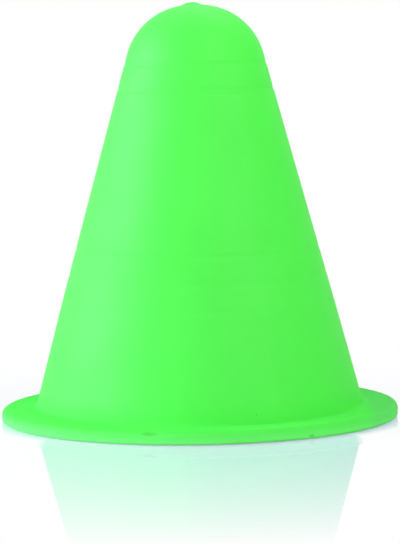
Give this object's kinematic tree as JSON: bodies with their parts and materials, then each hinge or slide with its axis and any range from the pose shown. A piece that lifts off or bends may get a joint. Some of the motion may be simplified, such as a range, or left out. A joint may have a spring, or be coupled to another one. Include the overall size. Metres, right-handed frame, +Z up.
{
  "type": "sports marker cone",
  "caption": "Low hollow marker cone with a rounded nose, fine ring lines and a flat round flange, moulded in one piece and open underneath for stacking.",
  "frame": {"origin": "centre of the flange's underside, on the ground", "axes": "+Z up along the cone's axis towards the rounded nose, -Y towards the side with the rim nick, +X to the right of that side"},
  "size_m": [0.076, 0.076, 0.0795],
  "materials": {
    "green_polyethylene": "bright green soft polyethylene with a fine satin skin"
  },
  "bodies": {
    "root": {"cone_shell": "green_polyethylene"}
  },
  "joints": []
}
